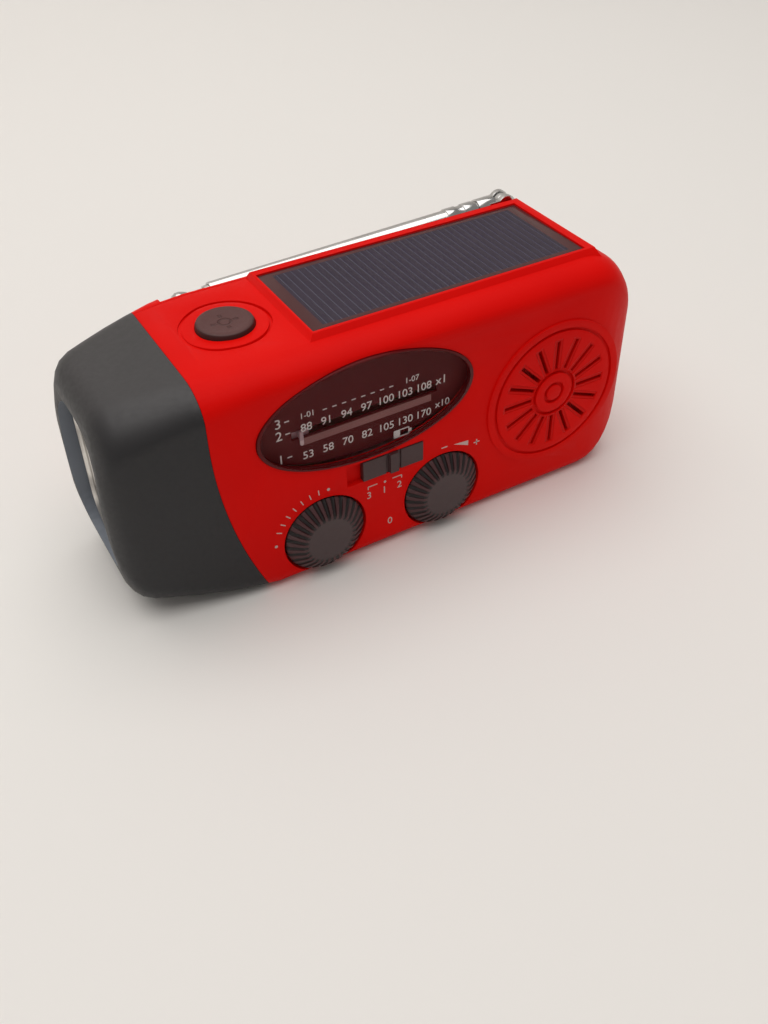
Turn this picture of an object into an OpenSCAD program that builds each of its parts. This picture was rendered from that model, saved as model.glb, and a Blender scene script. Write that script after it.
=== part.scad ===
// Hand-crank emergency radio with lamp, solar panel and telescopic aerial.
// X runs along the radio (lamp at -X), the dial faces -Y, Z is up.
// The origin is the middle of the bottom face.

/* [Housing] */
// Length from the lamp mouth to the right end
body_l = 133.5; // [128:0.5:143]
// Depth from the dial face to the back face
body_d = 45; // [44:1:52]
// Height to the top of the solar deck
body_h = 58; // [57:1:66]
// Wall of the moulded shells
wall = 2.2; // [1.8:0.1:2.4]
// Height of the soft edge between the top and the dial face
edge_top_front = 5.2; // [4:0.1:6]
// Reach of that soft edge into the top
edge_top_in = 7.5; // [5:0.5:9]
// Radius of the other long edges
edge_long = 4; // [3:0.5:5]
// Length over which the right end rounds off
end_round = 14; // [10:0.5:16]
// Depth of the rear cover, from the back face to the parting line
cover_d = 6; // [5:0.5:7]

/* [Lamp head] */
// Length of the black head along the top
head_l = 21.9; // [20:0.1:24]
// Draw-in of each side of the head towards its mouth
head_taper = 4.2; // [2:0.2:5]
// Bulge of the lamp mouth at half height
mouth_bulge = 2.4; // [1.5:0.1:3.5]
// Radius of the soft rim of the lamp mouth
rim_r = 5; // [3:0.5:6]
// Corner radius of the lamp mouth
mouth_r = 8; // [5:0.5:10]
// Radius of the curved joint line on the dial face
joint_r = 106; // [90:1:120]
// Height at which the joint line starts to curve
joint_start = 45; // [40:1:50]
// Depth of the lens behind the mouth
lens_depth = 4.3; // [4.2:0.1:5]
// Thickness of the lens
lens_t = 1.5; // [1:0.1:2]
// Diameter of one lamp diode
led_d = 5; // [4:0.5:6]

/* [Top] */
// Rise of the solar deck above the top
deck_rise = 1.2; // [0.8:0.1:1.6]
// Length of the solar panel
panel_l = 70; // [60:1:72]
// Width of the solar panel
panel_w = 27.6; // [22:0.2:28]
// Thickness of the solar panel
panel_t = 2; // [1.6:0.1:2]
// Diameter of the lamp button
button_d = 12.7; // [10:0.1:14]
// Diameter of the groove round the lamp button
button_ring_d = 19.3; // [17.5:0.1:21]
// Travel of the lamp button
button_travel = 1.2; // [0.8:0.1:1.4]

/* [Dial face] */
// Width of the oval dial window
dial_w = 53; // [46:0.5:54]
// Height of the oval dial window
dial_h = 25.5; // [22:0.5:26]
// Diameter of the knobs
knob_d = 19.8; // [18:0.1:20]
// Diameter of the flat disc on a knob
knob_face_d = 12.4; // [10:0.2:14]
// Height of the knobs over the dial face
knob_rise = 2.4; // [1.6:0.1:3]
// Number of flutes round a knob
knob_flutes = 28; // [20:2:32]
// Diameter of the knob shafts
knob_shaft_d = 6; // [5:0.1:7]
// Length of the band switch opening
switch_l = 19.8; // [18:0.2:21]
// Height of the band switch opening
switch_h = 5.5; // [4.5:0.1:6]
// Length of the band slider
slider_l = 15.6; // [14:0.1:16]

/* [Speaker] */
// Diameter of the raised speaker disc
speaker_d = 38; // [34:0.5:39]
// Diameter of the inner ring groove
speaker_ring_d = 33.6; // [31:0.2:34]
// Diameter of the hub groove
speaker_hub_d = 11.4; // [9:0.2:13]
// Number of radial slots
speaker_slots = 16; // [12:1:20]
// Width of a radial slot
slot_w = 0.9; // [0.8:0.1:1.6]
// Diameter of the loudspeaker
driver_d = 35.6; // [32:0.2:36]

/* [Aerial] */
// Diameter of the outer tube
aerial_d = 4.6; // [4.4:0.1:5]
// Wall of each tube
aerial_wall = 0.4; // [0.36:0.02:0.44]
// Length of the outer tube
aerial_l = 72; // [64:1:73]
// Rise of the stowed aerial towards its pivot, in degrees
aerial_tilt = 1.6; // [1:0.1:2.5]
// Diameter of the tip
aerial_tip_d = 4.2; // [3:0.1:4.4]

/* [Crank] */
// Distance from the crank axis to the grip
crank_r = 44; // [38:1:46]
// Width of the crank arm
crank_w = 13; // [12:0.5:14]
// Thickness of the crank arm
crank_t = 4.2; // [4:0.1:4.6]
// Diameter of the grip
grip_d = 5.6; // [5:0.1:6]
// Diameter of the crank shaft
crank_shaft_d = 5; // [4:0.1:6]
// Tooth module of the gears
gear_m = 0.8; // [0.76:0.01:0.82]

/* [Fits] */
// Running gap between a shaft and its bore, on the radius
fit = 0.06; // [0.03:0.01:0.09]
// Gap between parts that seat on each other
seat = 0.1; // [0.05:0.05:0.2]
// Gap round a part that moves past another
slip = 0.3; // [0.2:0.05:0.4]

/* [Hidden] */
$fn = 48;
eps = 0.01;

// faces of the housing
y_front = -body_d / 2;
y_back = body_d / 2;
y_part = y_back - cover_d;
x_mouth = -body_l / 2;
x_end = body_l / 2;
x_joint = x_mouth + head_l;
z_top = body_h - deck_rise;
y_in = y_front + wall;

// Place along the housing, as a share of its length from the lamp mouth
function along(share) = x_mouth + share * body_l;

// controls on the dial face
tune_x = along(0.3431);
vol_x = along(0.5768);
knob_z = 11.1;
knob_gap = 0.55;
pocket_d = knob_d + 2 * knob_gap;
pocket_depth = 3;
dial_x = along(0.4345);
dial_z = body_h - 17.1;
slot_x0 = dial_x - 15.8;
slot_x1 = dial_x + 17.3;
slot_z = dial_z - 2.3;
slot_h = 2.2;
switch_x = along(0.4622);
switch_z = dial_z - 16.15;
switch_pocket = 1.4;
spk_x = along(0.809);
spk_z = dial_z - 13.1;
spk_rise = 0.45;
drv_y0 = y_in + seat;
drv_t = 10;

// controls on the top
btn_x = along(0.2734);
btn_y = y_front + 22.9;
panel_x = along(0.6397);
panel_y = y_front + 23;
deck_bevel = 2.6;

// circuit board and what stands on it
board_y = y_front + 12.4;
board_t = 1.6;
board_x0 = along(0.2509);
board_x1 = spk_x - driver_d / 2 - 2.2;
board_z0 = 3.2;
board_z1 = z_top - 6.2;

// aerial channel and aerial
aer_y = y_back - aerial_d / 2;
aer_z = z_top - 0.8;
pivot_x = along(0.9056);
chan_drop = aerial_d / 2 + 0.7;
flange_d = aerial_d + 0.4;
chan_x0 = x_joint + 6.6;
knuckle_d = aerial_d + 0.6;
knuckle_w = 4.6;
chan_y = aer_y - knuckle_d / 2 - 0.25;
post_d = 4;
pin_d = 2;
tube_x1 = -8;
tube_x0 = tube_x1 - aerial_l;
tube_gap = 0.06;
tube_step = 1.2;
function tube_d(i) = aerial_d - 2 * i * (aerial_wall + tube_gap);

// crank and gear train
crank_x = along(0.7753);
crank_z = body_h * 0.4655;
teeth = [36, 12, 30, 12];
backlash = 0.06;
idler_x = crank_x - gear_m * (teeth[0] + teeth[1]) / 2;
dynamo_x = idler_x - gear_m * (teeth[2] + teeth[3]) / 2;
gear_t = 3.2;
plate_t = 1.4;
frame_y1 = y_back - wall - 2.2;
frame_y0 = frame_y1 - 12.6;
gear_y1 = frame_y1 - plate_t - 0.8;
gear_y0 = frame_y0 + plate_t + 0.5;
axle_d = 3;
arm_y0 = y_back + 0.5;
arm_y1 = arm_y0 + crank_t;
grip_len = 22;
grip_y = arm_y0 + grip_d / 2 + 0.2;
grip_x = crank_x - crank_r;
grip_rod_d = 2.6;
grip_pin_d = 2;
eye_d = 4;
dyn_d = 20;

// battery and charging sockets
cell_d = 18;
cell_l = body_h - 16;
cell_x = along(0.3108);
cell_y = y_back - 20.2;
port_x = along(0.3371);
port_z = 14;
port_l = 25;
port_h = 9;
cover_t = 1.6;
port_sink = 1.4;
charge_y = y_back - 9.6;
charge_t = 1.2;
usb_a = [13.2, 5.8];
usb_c = [8.9, 3.2];

// Points on a quarter of an ellipse about a corner centre
function arc(cy, cz, ry, rz, a0, n) = [for (i = [0:n]) [cy + ry * cos(a0 + 90 * i / n), cz + rz * sin(a0 + 90 * i / n)]];

// Cross-section of the housing in Y and Z: g is drawn in on every side, d further in at the sides,
// the top and the bottom, and the corners grow by more
function section(g, n, d, more) = let (r1 = max(edge_top_front - g + more, 0.8), q1 = max(edge_top_in - g + more, 0.8),
    r2 = max(edge_long - g + more, 0.8), y0 = y_front + g + d[0], y1 = y_back - g - d[0], z0 = g + d[2], z1 = z_top - g - d[1]) concat(
    arc(y1 - r2, z1 - r2, r2, r2, 0, n), arc(y0 + q1, z1 - r1, q1, r1, 90, n),
    arc(y0 + r2, z0 + r2, r2, r2, 180, n), arc(y1 - r2, z0 + r2, r2, r2, 270, n));

// Centre line of the bulging mouth, and how far its top and bottom lie back
mouth_arc = (pow(z_top / 2 - head_taper, 2) + pow(mouth_bulge, 2)) / 2 / mouth_bulge;
mouth_back = mouth_arc - sqrt(pow(mouth_arc, 2) - pow(z_top / 2 - 2 * rim_r, 2));

// Draw-in of the head at a distance from its mouth: sides, top and bottom, with a rounded rim
head_run = head_l + 12;
function rim_in(x) = x < 0 ? rim_r - 2 * x : rim_r - sqrt(pow(rim_r, 2) - pow(max(rim_r - x, 0), 2));
function head_in(x) = let (t = head_taper * pow(max(head_run - x, 0) / (head_run - 3.5), 1.5))
    [t + rim_in(x), t + rim_in(x - mouth_back), t + rim_in(x - mouth_back)];
function head_more(x) = (mouth_r - edge_long) * max(head_run - x, 0) / head_run;
// Draw-in of the right end at its sides, top and bottom, as shares of its rounding
end_in = [0.52, 1, 1.15];
end_more = 0.35;

// Closed skin over cross-sections that stand at the places xs along X
module skin(xs, rings) {
    m = len(rings[0]);
    last = len(xs) - 1;
    polyhedron(points = [for (i = [0:last], p = rings[i]) [xs[i], p[0], p[1]]], faces = concat(
        [[for (j = [0:m - 1]) j]], [[for (j = [m - 1:-1:0]) last * m + j]],
        [for (i = [0:last - 1], j = [0:m - 1]) [i * m + j, i * m + j + m, i * m + (j + 1) % m]],
        [for (i = [0:last - 1], j = [0:m - 1]) [i * m + (j + 1) % m, i * m + j + m, i * m + (j + 1) % m + m]]));
}

// The whole moulded form with its tapered head and rounded end, drawn in by g
module form(g, n) let (near = [0, 0.3, 0.8, 1.6, 2.6, 4, rim_r + 1.2, 10, 15, 20, 26, head_run], turns = [0:10:90]) skin(
    concat([for (x = near) x_mouth + x - (x == 0 ? g * 0.2 : 0)],
        [for (a = turns) x_end - g - end_round * (1 - sin(a))]),
    concat([for (x = near) section(g, n, head_in(x), head_more(x))],
        [for (a = turns) section(g, n, end_round * (1 - cos(a)) * end_in, end_round * (1 - cos(a)) * end_more)]));

// Shape drawn in Y and Z, running t along X from x
module along_x(x, t) translate([x, 0, 0]) rotate([90, 0, 90]) linear_extrude(t) children();

// Shape drawn in X and Z, standing from y0 to y1
module along_y(y0, y1) translate([0, y1, 0]) rotate([90, 0, 0]) linear_extrude(y1 - y0) children();

// Round bar along Y, from y0 to y1
module bar_y(x, z, d, y0, y1) translate([x, y1, z]) rotate([90, 0, 0]) cylinder(d = d, h = y1 - y0);

// Block between two corners
module block(a, b) translate(a) cube(b - a);

// Outline right of the curved joint line
module joint_outline(gap) polygon(concat(
    [[x_end + 9, -9], [x_end + 9, body_h + 9], [x_joint + gap, body_h + 9]],
    [for (i = [0:24]) let (a = 180 + i * 1.6) [x_joint + gap + joint_r * (1 + cos(a)), joint_start + joint_r * sin(a)]]));

// Everything outside the bulging mouth, moved d into the head
module mouth_cut(d) difference() {
    block([x_mouth - 9, y_front - 6, -4], [x_mouth + 14, y_back + 6, body_h + 4]);
    mouth_bar(d, 9);
}
module mouth_bar(d, over) bar_y(x_mouth + mouth_arc, z_top / 2, 2 * (mouth_arc - d), y_front - over, y_back + over);

module red_side(gap) along_y(y_front - 7, y_back + 7) joint_outline(gap);

// Everything left of the curved joint line
module head_side(gap) difference() {
    block([x_mouth - 9, y_front - 6, -6], [x_joint + joint_r, y_back + 6, body_h + 6]);
    red_side(gap);
}

// Elliptical outline
module oval(w, h) polygon([for (a = [0:5:355]) [w / 2 * cos(a), h / 2 * sin(a)]]);

module bar_z(x, y, d, z0, z1) translate([x, y, z0]) cylinder(d = d, h = z1 - z0);

// Raised deck that frames the solar panel
module deck() hull() {
    block([panel_x - panel_l / 2 - 3.4, panel_y - panel_w / 2 - 3.6, z_top - 2],
        [panel_x + panel_l / 2 + 4, chan_y - eps, z_top - 1.99]);
    block([panel_x - panel_l / 2 - 3.4 + deck_bevel, panel_y - panel_w / 2 - 3.6 + deck_bevel, body_h - eps],
        [panel_x + panel_l / 2 + 2.4, chan_y - 0.8, body_h]);
}

module panel_pocket() block([panel_x - panel_l / 2 - seat * 2, panel_y - panel_w / 2 - seat * 2, body_h - 0.3 - panel_t - seat],
    [panel_x + panel_l / 2 + seat * 2, panel_y + panel_w / 2 + seat * 2, body_h + 1]);

// Ring groove in a face that looks along -Y
module ring_y(x, z, d, w, y0, depth) difference() {
    bar_y(x, z, d + w, y0 - 1, y0 + depth);
    bar_y(x, z, d - w, y0 - 2, y0 + depth + 1);
}

// Pattern of sound slots
module sound_slots() for (i = [0:speaker_slots - 1])
    translate([spk_x, y_front, spk_z]) rotate([0, i * 360 / speaker_slots, 0])
        block([speaker_hub_d / 2 + 0.9, -2, -slot_w / 2], [speaker_ring_d / 2 - 2.6, wall + 1, slot_w / 2]);

post_w = 5.6;
board_posts = [[board_x0 + 2.6, switch_z - 1], [board_x1 - 2.6, board_z1 - 2.6], [dial_x + 3.2, board_z0 + 4]];
cover_posts = [[x_joint + 7, 22], [x_joint + 5, board_z1 - 4.5], [x_end - 10, post_w + 2], [x_end - 10, board_z1 - 8]];
frame_rise = 13.6;
frame_posts = [for (x = [dynamo_x + 2, crank_x + 14], z = [-1, 1]) [x, crank_z + z * frame_rise]];
screw_d = 2.6;

// Places its children at the aerial pivot, level with the stowed aerial
module at_aerial() translate([pivot_x, aer_y, aer_z]) rotate([0, -aerial_tilt, 0]) children();

module bar_x(d, x0, x1) translate([x0, 0, 0]) rotate([0, 90, 0]) cylinder(d = d, h = x1 - x0);

// Channel for the stowed aerial along the rear top edge
module channel(grow) at_aerial()
    block([chan_x0 - pivot_x - grow, chan_y - aer_y - grow, -chan_drop - grow], [x_end, body_d, body_h]);

// Way over the head along which the folded aerial slides out, grown by a wall
way_d = aerial_d + slip;
module aerial_way(grow) at_aerial() bar_x(way_d + 2 * grow, x_mouth - 9 - pivot_x, chan_x0 + 1 - pivot_x);

// Hollow inside of the housing
module cavity() difference() {
    form(wall, 4);
    channel(wall);
    aerial_way(wall / 2);
    block([pivot_x - 5, chan_y - 1, aer_z - 10.9], [x_end, body_d, body_h]);
}

module housing() difference() {
    union() {
        form(0, 8);
        deck();
    }
    cavity();
    channel(0);
    aerial_way(0);
    bar_z(pivot_x, aer_y, 7.6, aer_z - chan_drop - 0.2, body_h + 5);
}

module behind(y) block([-body_l, y, -1], [body_l, body_d, body_h + 9]);
module before(y) block([-body_l, -body_d, -1], [body_l, y, body_h + 9]);

// Round pocket that a knob sits in
module knob_pocket(x) {
    bar_y(x, knob_z, pocket_d, y_front - 2, y_front + pocket_depth);
    bar_y(x, knob_z, knob_shaft_d + 2 * fit, y_front, y_in + 4);
}

module knob_backing(x) intersection() {
    bar_y(x, knob_z, pocket_d + 3.2, y_in - 1, y_front + pocket_depth + 1.6);
    block([x - knob_d, y_front, wall - 1], [x + knob_d, 0, body_h]);
}

module front_shell() color("red") difference() {
    union() {
        difference() {
            housing();
            behind(y_part - seat / 2);
            head_side(seat / 2);
        }
        bar_y(spk_x, spk_z, speaker_d, y_front - spk_rise, y_in - 0.5);
        knob_backing(tune_x);
        knob_backing(vol_x);
        for (p = board_posts) bar_y(p[0], p[1], 4.4, y_in - 1, board_y - seat);
        for (p = cover_posts) bar_y(p[0], p[1], post_w, y_in - 1, y_part - seat / 2);
    }
    knob_pocket(tune_x);
    knob_pocket(vol_x);
    along_y(y_front - 1, y_in + 1) translate([dial_x, dial_z]) oval(dial_w + 2 * seat, dial_h + 2 * seat);
    block([switch_x - switch_l / 2, y_front - 1, switch_z - switch_h / 2],
        [switch_x + switch_l / 2, y_front + switch_pocket, switch_z + switch_h / 2]);
    block([switch_x - 2.8, y_front, switch_z - 1.6], [switch_x + 4.6, y_in + 1, switch_z + 1.6]);
    ring_y(spk_x, spk_z, speaker_ring_d, 0.8, y_front - spk_rise, 0.6);
    ring_y(spk_x, spk_z, speaker_hub_d, 0.9, y_front - spk_rise, 0.8);
    ring_y(spk_x, spk_z, speaker_hub_d / 2.3, 0.9, y_front - spk_rise, 0.8);
    sound_slots();
    bar_y(spk_x, spk_z, driver_d + 2 * slip, y_in, drv_y0 + 4);
    panel_pocket();
    bar_z(btn_x, btn_y, button_d + 0.3, z_top - wall - 1, z_top + 1);
    translate([btn_x, btn_y, z_top - 0.7]) difference() {
        cylinder(d = button_ring_d + 0.8, h = 2);
        translate([0, 0, -1]) cylinder(d = button_ring_d - 0.8, h = 4);
    }
    for (p = cover_posts) bar_y(p[0], p[1], screw_d + 0.2, y_part - 12, y_part);
}

module rear_shell() color("red") difference() {
    union() {
        difference() {
            housing();
            before(y_part + seat / 2);
            head_side(seat / 2);
        }
        bar_y(crank_x, crank_z, 12, y_back - wall - 1.2, y_back - 0.5);
        for (p = frame_posts) bar_y(p[0], p[1], 5, frame_y1 + seat, y_back - wall + 0.5);
        for (p = cover_posts) bar_y(p[0], p[1], 7.4, y_part + seat / 2, y_back - wall + 0.5);
    }
    bar_y(crank_x, crank_z, crank_shaft_d + 2 * fit, y_part, y_back + 1);
    bar_z(pivot_x, aer_y, flange_d + slip, aer_z - chan_drop - 1.4, aer_z);
    bar_z(pivot_x, aer_y, post_d + 2 * fit, aer_z - 9, aer_z);
    block([port_x - port_l / 2 - slip, y_back - port_sink - seat, port_z - port_h / 2 - slip],
        [port_x + port_l / 2 + slip, y_back + 1, port_z + port_h / 2 + slip]);
    socket_hole(port_x + 4.2, usb_a);
    socket_hole(port_x - 7.6, usb_c);
    for (p = cover_posts) {
        bar_y(p[0], p[1], screw_d + 0.6, y_part - 1, y_back + 1);
        bar_y(p[0], p[1], 5.8, y_back - 2.4, y_back + 1);
    }
    for (i = [0:5]) block([crank_x - 18 + 2.4 * i, y_back - wall - 1, 49], [crank_x - 16.8 + 2.4 * i, y_back - wall + 0.2, 51]);
}

module socket_hole(x, s) block([x - s[0] / 2 - seat, y_part, port_z - s[1] / 2 - seat],
    [x + s[0] / 2 + seat, y_back + 1, port_z + s[1] / 2 + seat]);

// Flat left between the soft rim and the opening of the mouth
rim_flat = 0.4;

// Black head with its open mouth
module lamp_hood() color("#2b2b2d") difference() {
    form(0, 8);
    difference() {
        form(wall, 6);
        mouth_cut(lens_depth - seat);
        aerial_way(wall / 2);
    }
    aerial_way(0);
    along_x(x_mouth - 9, lens_depth + 13) polygon(section(rim_flat, 8, [1, 1, 1] * head_in(0)[0], head_more(0)));
    red_side(-seat / 2);
    mouth_cut(0);
}

// Curved plate that fills the inside of the hood, from d to d + t behind its mouth
module hood_skin(d, t) difference() {
    form(wall + seat, 6);
    mouth_cut(d);
    mouth_bar(d + t, 10);
    block([x_mouth + 14, y_front, -1], [x_end + 1, y_back, body_h]);
}

module lamp_lens() color([0.9, 0.95, 1, 0.4]) hood_skin(lens_depth, lens_t);

lamp_rows = [-12.4, 0, 12.4];
cup_d = lens_depth + lens_t + seat;
cup_t = 1.2;
cup_back = cup_d + 12.6;
led_z = z_top / 2;

// Places its children on the axis of each diode, d behind the mouth, looking inwards
module at_rows(d) for (p = lamp_rows) translate([x_mouth + d, 0, led_z + p]) rotate([0, 90, 0]) children();

// Bright curved plate with one cup for each diode
module lamp_reflector() color("silver") difference() {
    union() {
        hood_skin(cup_d, cup_t);
        at_rows(cup_d) cylinder(d1 = led_d + 9.4, d2 = led_d + 2.8, h = cup_back - cup_d);
    }
    mouth_cut(cup_d);
    at_rows(cup_d - eps) cylinder(d1 = led_d + 7, d2 = led_d + 0.6, h = cup_back - cup_d + 2 * eps);
}

led_len = 7.5;
module lamp_leds() color("white") at_rows(cup_back - led_len) {
    translate([0, 0, led_d / 2]) cylinder(d = led_d, h = led_len - led_d / 2);
    intersection() {
        translate([0, 0, led_d / 2]) sphere(d = led_d);
        translate([0, 0, -led_d / 2]) cylinder(d = led_d + 1, h = led_d);
    }
}

module led_board() color("darkgreen") let (d = cup_back + seat) along_x(x_mouth + d, 1.2)
    polygon(section(wall + 2, 6, head_in(d), head_more(d)));

module solar_panel() color("#1c2233") difference() {
    block([panel_x - panel_l / 2, panel_y - panel_w / 2, body_h - 0.3 - panel_t],
        [panel_x + panel_l / 2, panel_y + panel_w / 2, body_h - 0.3]);
    for (i = [0:35]) let (x = panel_x - panel_l / 2 + 4 + i * (panel_l - 8) / 35)
        block([x - 0.1, panel_y - panel_w / 2 + 1.6, body_h - 0.4], [x + 0.1, panel_y + panel_w / 2 - 1.6, body_h]);
}

btn_z1 = z_top + 1.1;
module torch_button() color("#3a3538") translate([btn_x, btn_y, 0]) rotate_extrude() polygon([[0, z_top - wall - 1.2],
    [button_d / 2 + 0.6, z_top - wall - 1.2], [button_d / 2 + 0.6, z_top - wall - 2 * slip], [button_d / 2, z_top - wall - 2 * slip],
    [button_d / 2, btn_z1 - 0.7], [button_d / 2 - 0.25, btn_z1 - 0.2], [button_d / 2 - 0.8, btn_z1],
    [button_d / 4, btn_z1 - 0.35], [0, btn_z1 - 0.45]]);

switch_top = z_top - wall - 1.2 - button_travel - 0.2;
module torch_switch() color("dimgray") {
    block([btn_x - 3.5, board_y + board_t + seat, switch_top - 6], [btn_x + 3.5, btn_y + 3.5, switch_top - 0.6]);
    bar_z(btn_x, btn_y, 3.4, switch_top - 1, switch_top);
}

// Flush dark window with a turned-in rim behind the wall
module dial_window() color([0.12, 0.1, 0.11, 0.75]) along_y(y_front - 0.25, y_front + 1.3)
    translate([dial_x, dial_z]) oval(dial_w, dial_h);

module dial_plate() color("black") difference() {
    along_y(y_in + 0.5, y_in + 1.3) translate([dial_x, dial_z]) oval(dial_w + 3, dial_h - 1);
    block([slot_x0 - 1.6, y_in, slot_z - slot_h / 2], [slot_x1 + 1.6, y_in + 2, slot_z + slot_h / 2]);
}

module dial_pointer() color("orangered") translate([slot_x0 + 0.4, 0, slot_z]) {
    block([-0.45, y_in - 0.3, -1.2], [0.45, y_in + 0.3, 1.2]);
    block([-0.45, y_in + 0.2, -0.8], [0.45, y_in + 1.6, 0.8]);
    block([-2.5, y_in + 1.5, -2.5], [2.5, y_in + 2.4, 2.5]);
}

// Fluted control knob with its shaft
module knob(x) translate([x, y_front, knob_z]) rotate([90, 0, 0]) {
    difference() {
        rotate_extrude() polygon([[0, -pocket_depth + slip], [knob_d / 2 - 0.6, -pocket_depth + slip], [knob_d / 2, 0.2 - pocket_depth + slip],
            [knob_d / 2, -0.2], [knob_d / 2 - 0.5, 0.35], [knob_face_d / 2 + 0.7, knob_rise - 0.15],
            [knob_face_d / 2, knob_rise], [0, knob_rise]]);
        for (i = [0:knob_flutes - 1]) rotate([0, 0, i * 360 / knob_flutes]) translate([knob_d / 2 - 0.2, 0, 0.55])
            rotate([0, -atan((knob_d - knob_face_d - 2.4) / 2 / (knob_rise - 0.5)), 0])
                translate([0, 0, -3]) cylinder(d = 1.3, h = 9, $fn = 16);
    }
    translate([0, 0, -board_shaft]) cylinder(d = knob_shaft_d, h = board_shaft - 1);
}

board_shaft = 8.6;
ctrl_y0 = y_front + pocket_depth + 1.6 + seat;
module tuning_knob() color("#3b383b") knob(tune_x);
module volume_knob() color("#3b383b") knob(vol_x);

module control_bore(x) bar_y(x, knob_z, knob_shaft_d + 2 * fit, ctrl_y0 - 1, y_front + board_shaft + 0.4);
module tuning_capacitor() color("white") difference() {
    block([tune_x - 8, ctrl_y0, knob_z - 7.6], [tune_x + 8, board_y - seat, knob_z + 8.4]);
    control_bore(tune_x);
}
module volume_control() color("tan") difference() {
    bar_y(vol_x, knob_z, 15, ctrl_y0, board_y - seat);
    control_bore(vol_x);
}

slider_x = switch_x + switch_l / 2 - slider_l / 2 - 0.15;
slider_travel = switch_l - slider_l - 0.3;
module band_slider() color("#3a3839") {
    difference() {
        block([slider_x - slider_l / 2, y_front - 0.3, switch_z - switch_h / 2 + 0.12],
            [slider_x + slider_l / 2, y_front + switch_pocket - 0.15, switch_z + switch_h / 2 - 0.12]);
        for (s = [-1, 1]) block([slider_x + s * 1.6 - 0.35, y_front - 1, switch_z - switch_h / 2], [slider_x + s * 1.6 + 0.35, y_front + 0.1, switch_z + switch_h / 2]);
    }
    block([slider_x - 1.1, y_front - 0.9, switch_z - switch_h / 2 + 0.12], [slider_x + 1.1, y_front, switch_z + switch_h / 2 - 0.12]);
    block([switch_x + 1.6, y_front, switch_z - 1.3], [switch_x + 4, y_in + 2, switch_z + 1.3]);
}
module band_switch() color("silver") difference() {
    block([switch_x - 7, y_in + seat, switch_z - 3.2], [switch_x + 9, board_y - seat, switch_z + 3.2]);
    block([switch_x - 2.8, y_in - 1, switch_z - 1.6], [switch_x + 4.6, y_in + 2.3, switch_z + 1.6]);
}

module speaker_basket() color("dimgray") translate([spk_x, drv_y0, spk_z]) rotate([-90, 0, 0]) difference() {
    rotate_extrude() polygon([[driver_d / 2 - 1.6, 0], [driver_d / 2, 0], [driver_d / 2, 2.4], [driver_d / 2 - 3, 4], [10.4, drv_t - 0.8],
        [10.4, drv_t], [5, drv_t], [5, drv_t - 0.9], [9.4, drv_t - 0.9], [driver_d / 2 - 4, 3.2], [driver_d / 2 - 1.6, 1.6]]);
    for (i = [0:3]) rotate([0, 0, 45 + 90 * i]) translate([13, 0, 2]) cylinder(d = 4.4, h = 9);
}
module speaker_cone() color("#222222") translate([spk_x, drv_y0, spk_z]) rotate([-90, 0, 0]) rotate_extrude() polygon([
    [driver_d / 2 - 1.7, 0.5], [driver_d / 2 - 2.9, 0.1], [driver_d / 2 - 4.2, 0.6], [6, 5.6], [4.4, 4.4], [0, 3.6], [0, 4.2],
    [4.2, 5], [4.2, drv_t - 1.2], [4.8, drv_t - 1.2], [4.8, 6.6], [6, 6.4], [driver_d / 2 - 4.2, 1.3], [driver_d / 2 - 1.7, 1.1]]);
module speaker_magnet() color("gray") bar_y(spk_x, spk_z, 18, drv_y0 + drv_t + seat / 2, drv_y0 + drv_t + 6);

module main_board() color("darkgreen") difference() {
    block([board_x0, board_y, board_z0], [board_x1, board_y + board_t, board_z1]);
    for (p = board_posts) bar_y(p[0], p[1], 1.6, board_y - 1, board_y + board_t + 1);
}
module board_chips() color("#202020") {
    for (p = [[-14, 30, 10, 7], [4, 34, 6, 9], [-2, 20, 8, 5]])
        block([dial_x + p[0], board_y + board_t + seat / 2, p[1]], [dial_x + p[0] + p[2], board_y + board_t + 1.9, p[1] + p[3]]);
}

rod_d = 8;
rod_y = board_y + board_t + 5.6;
rod_z = board_z1 - 3;
module ferrite_rod() color("#303034") translate([dial_x - 6, rod_y, rod_z]) rotate([0, 90, 0]) cylinder(d = rod_d, h = 48);
module ferrite_coils() color("peru") {
    for (x = [-4, 28]) translate([dial_x + x, rod_y, rod_z]) rotate([0, 90, 0]) difference() {
        cylinder(d = rod_d + 2.4, h = 10);
        translate([0, 0, -1]) cylinder(d = rod_d + 0.3, h = 12);
    }
    for (x = [-4, 28]) block([dial_x + x, board_y + board_t + seat / 2, rod_z - 3], [dial_x + x + 10, rod_y - rod_d / 2 - 0.8, rod_z + 3]);
}

module battery_cell() color("steelblue") bar_z(cell_x, cell_y, cell_d, wall + 0.8, wall + 0.8 + cell_l);

// Swivelling post with a tongue for the knuckle
module aerial_base() color("silver") difference() {
    union() {
        bar_z(pivot_x, aer_y, post_d, aer_z - 8.8, aer_z - 3);
        bar_z(pivot_x, aer_y, flange_d, aer_z - chan_drop - 1.3, aer_z - chan_drop - 0.05);
        bar_y(pivot_x, aer_z, knuckle_d - 0.6, aer_y - 0.9, aer_y + 0.9);
        block([pivot_x - 1.6, aer_y - 0.9, aer_z - chan_drop - 0.5], [pivot_x + 1.6, aer_y + 0.9, aer_z - 0.5]);
    }
    bar_y(pivot_x, aer_z, pin_d + 2 * fit, aer_y - 4, aer_y + 4);
}
module aerial_knuckle() color("silver") at_aerial() difference() {
    union() {
        bar_y(0, 0, knuckle_d, -knuckle_w / 2, knuckle_w / 2);
        bar_x(knuckle_d, -7.9, -3);
        block([-5, -knuckle_w / 2, -1.7], [0, knuckle_w / 2, 1.7]);
    }
    bar_y(0, 0, pin_d + 0.01, -4, 4);
    bar_y(0, 0, knuckle_d + 0.7, -1.05, 1.05);
}
module aerial_pin() color("silver") bar_y(pivot_x, aer_z, pin_d, aer_y - knuckle_w / 2, aer_y + knuckle_w / 2);

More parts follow.
